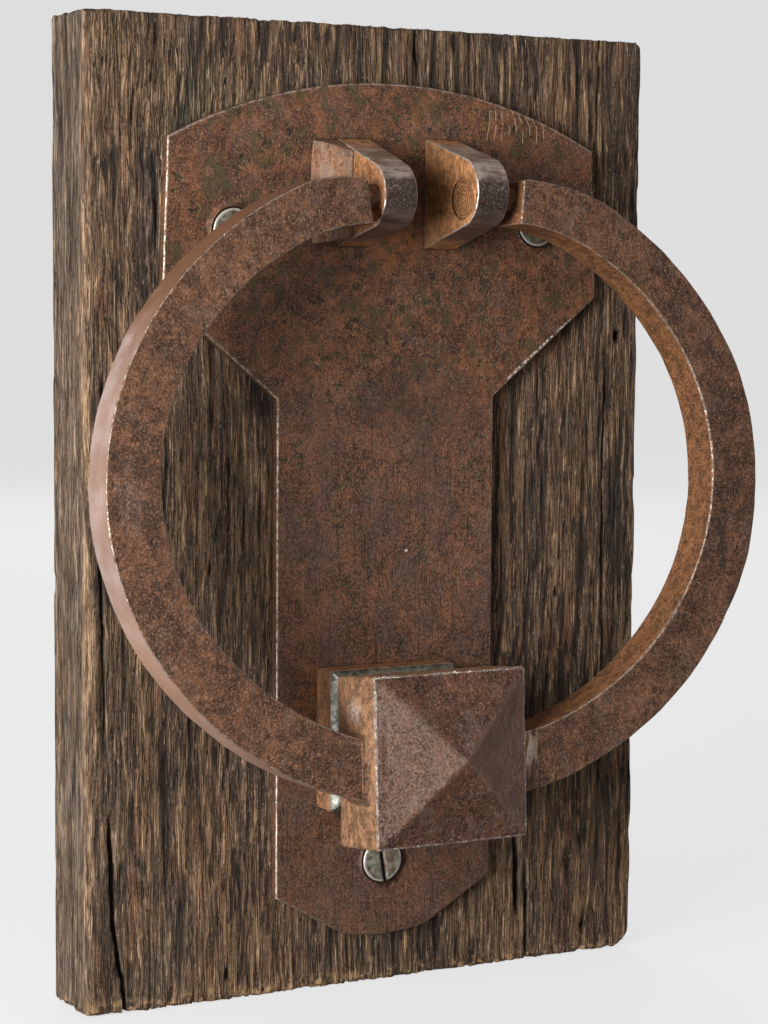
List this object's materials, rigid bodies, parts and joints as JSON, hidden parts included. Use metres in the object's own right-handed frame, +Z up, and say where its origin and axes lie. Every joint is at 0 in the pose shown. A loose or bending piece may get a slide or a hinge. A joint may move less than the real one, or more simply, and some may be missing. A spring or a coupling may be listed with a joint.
{
  "type": "ring door knocker",
  "caption": "Ring knocker: an oval ring with a pyramid-faced striker swings between two lugs on an arched iron plate, over a strike block, screwed to a thick oak board.",
  "frame": {"origin": "centre of the board's flat back face", "axes": "+Z up along the board, +Y out of the back face into the door, +X to the right as seen from the front"},
  "size_m": [0.194, 0.0731, 0.26],
  "materials": {
    "oak": "weathered, open grain",
    "plate_iron": "rusted sheet iron",
    "lug_iron": "filed and worn nose, rusty flanks",
    "weld_iron": "filed weld",
    "strike_iron": "bright worn bevels on rusty iron",
    "screw_steel": "dull zinc",
    "ring_iron": "forged, brown patina",
    "boss_iron": "forged, hammered grain",
    "pin_iron": "turned, lightly rusted"
  },
  "bodies": {
    "mounted_plate": {"oak_board": "oak", "back_plate": "plate_iron", "lug_left": "lug_iron", "lug_right": "lug_iron", "lug_weld_left": "weld_iron", "strike_block": "strike_iron", "screw_upper_left": "screw_steel", "screw_upper_right": "screw_steel", "screw_lower": "screw_steel"},
    "knocker_ring": {"ring_arm_left": "ring_iron", "ring_arm_right": "ring_iron", "striker_boss": "boss_iron", "hinge_pin_left": "pin_iron", "hinge_pin_right": "pin_iron", "weld_bead_left": "weld_iron", "weld_bead_right": "weld_iron"}
  },
  "joints": [
    {"name": "ring_swing", "type": "hinge", "parent": "mounted_plate", "child": "knocker_ring", "pos_m": [0.0043, -0.0464, 0.0835], "axis": [-1, 0, 0], "range_deg": [-3.2, 185]}
  ]
}
